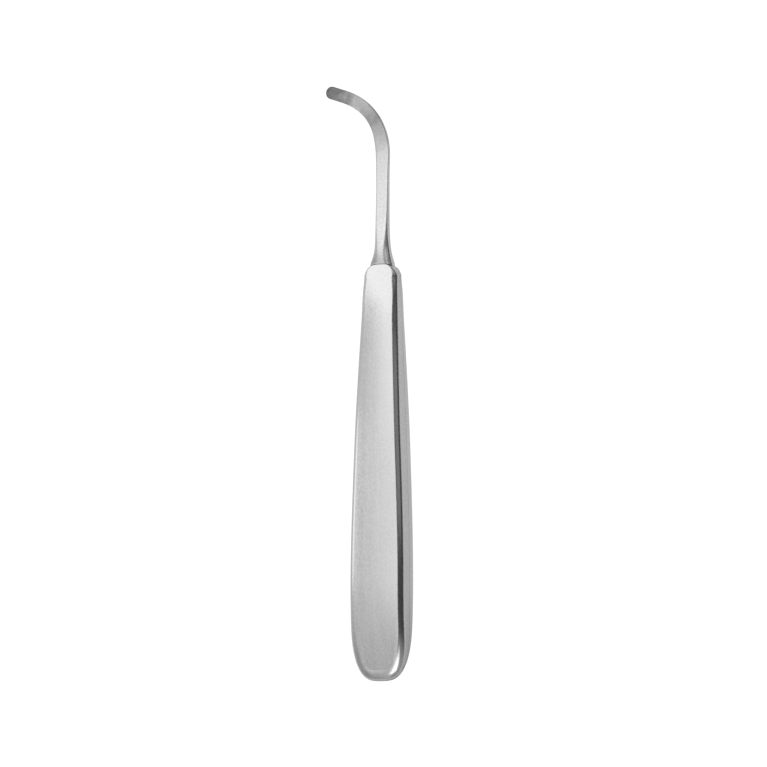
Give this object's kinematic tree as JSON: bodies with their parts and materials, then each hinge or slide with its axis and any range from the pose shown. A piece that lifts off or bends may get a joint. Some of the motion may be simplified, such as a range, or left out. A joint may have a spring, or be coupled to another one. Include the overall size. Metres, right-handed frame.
{
  "type": "dental elevator",
  "caption": "Curved root elevator: a blade bent sideways on a slim shank, with a flared bolster and a broad flat hollow handle.",
  "frame": {"origin": "on the flat back face of the handle, half way along the handle and on its centre line", "axes": "+X along the handle towards the tip, +Y the way the blade bends, +Z out of the front face"},
  "size_m": [0.1593, 0.0261, 0.0075],
  "materials": {
    "satin_steel": "satin, finely brushed along the handle",
    "forged_steel": "satin, duller and slightly mottled towards the tip",
    "silver_solder": "as flowed, a pale silver alloy"
  },
  "bodies": {
    "root": {"blade_and_shank": "forged_steel", "front_handle_shell": "satin_steel", "back_handle_shell": "satin_steel", "seam_solder": "silver_solder", "neck_solder": "silver_solder"}
  },
  "joints": []
}
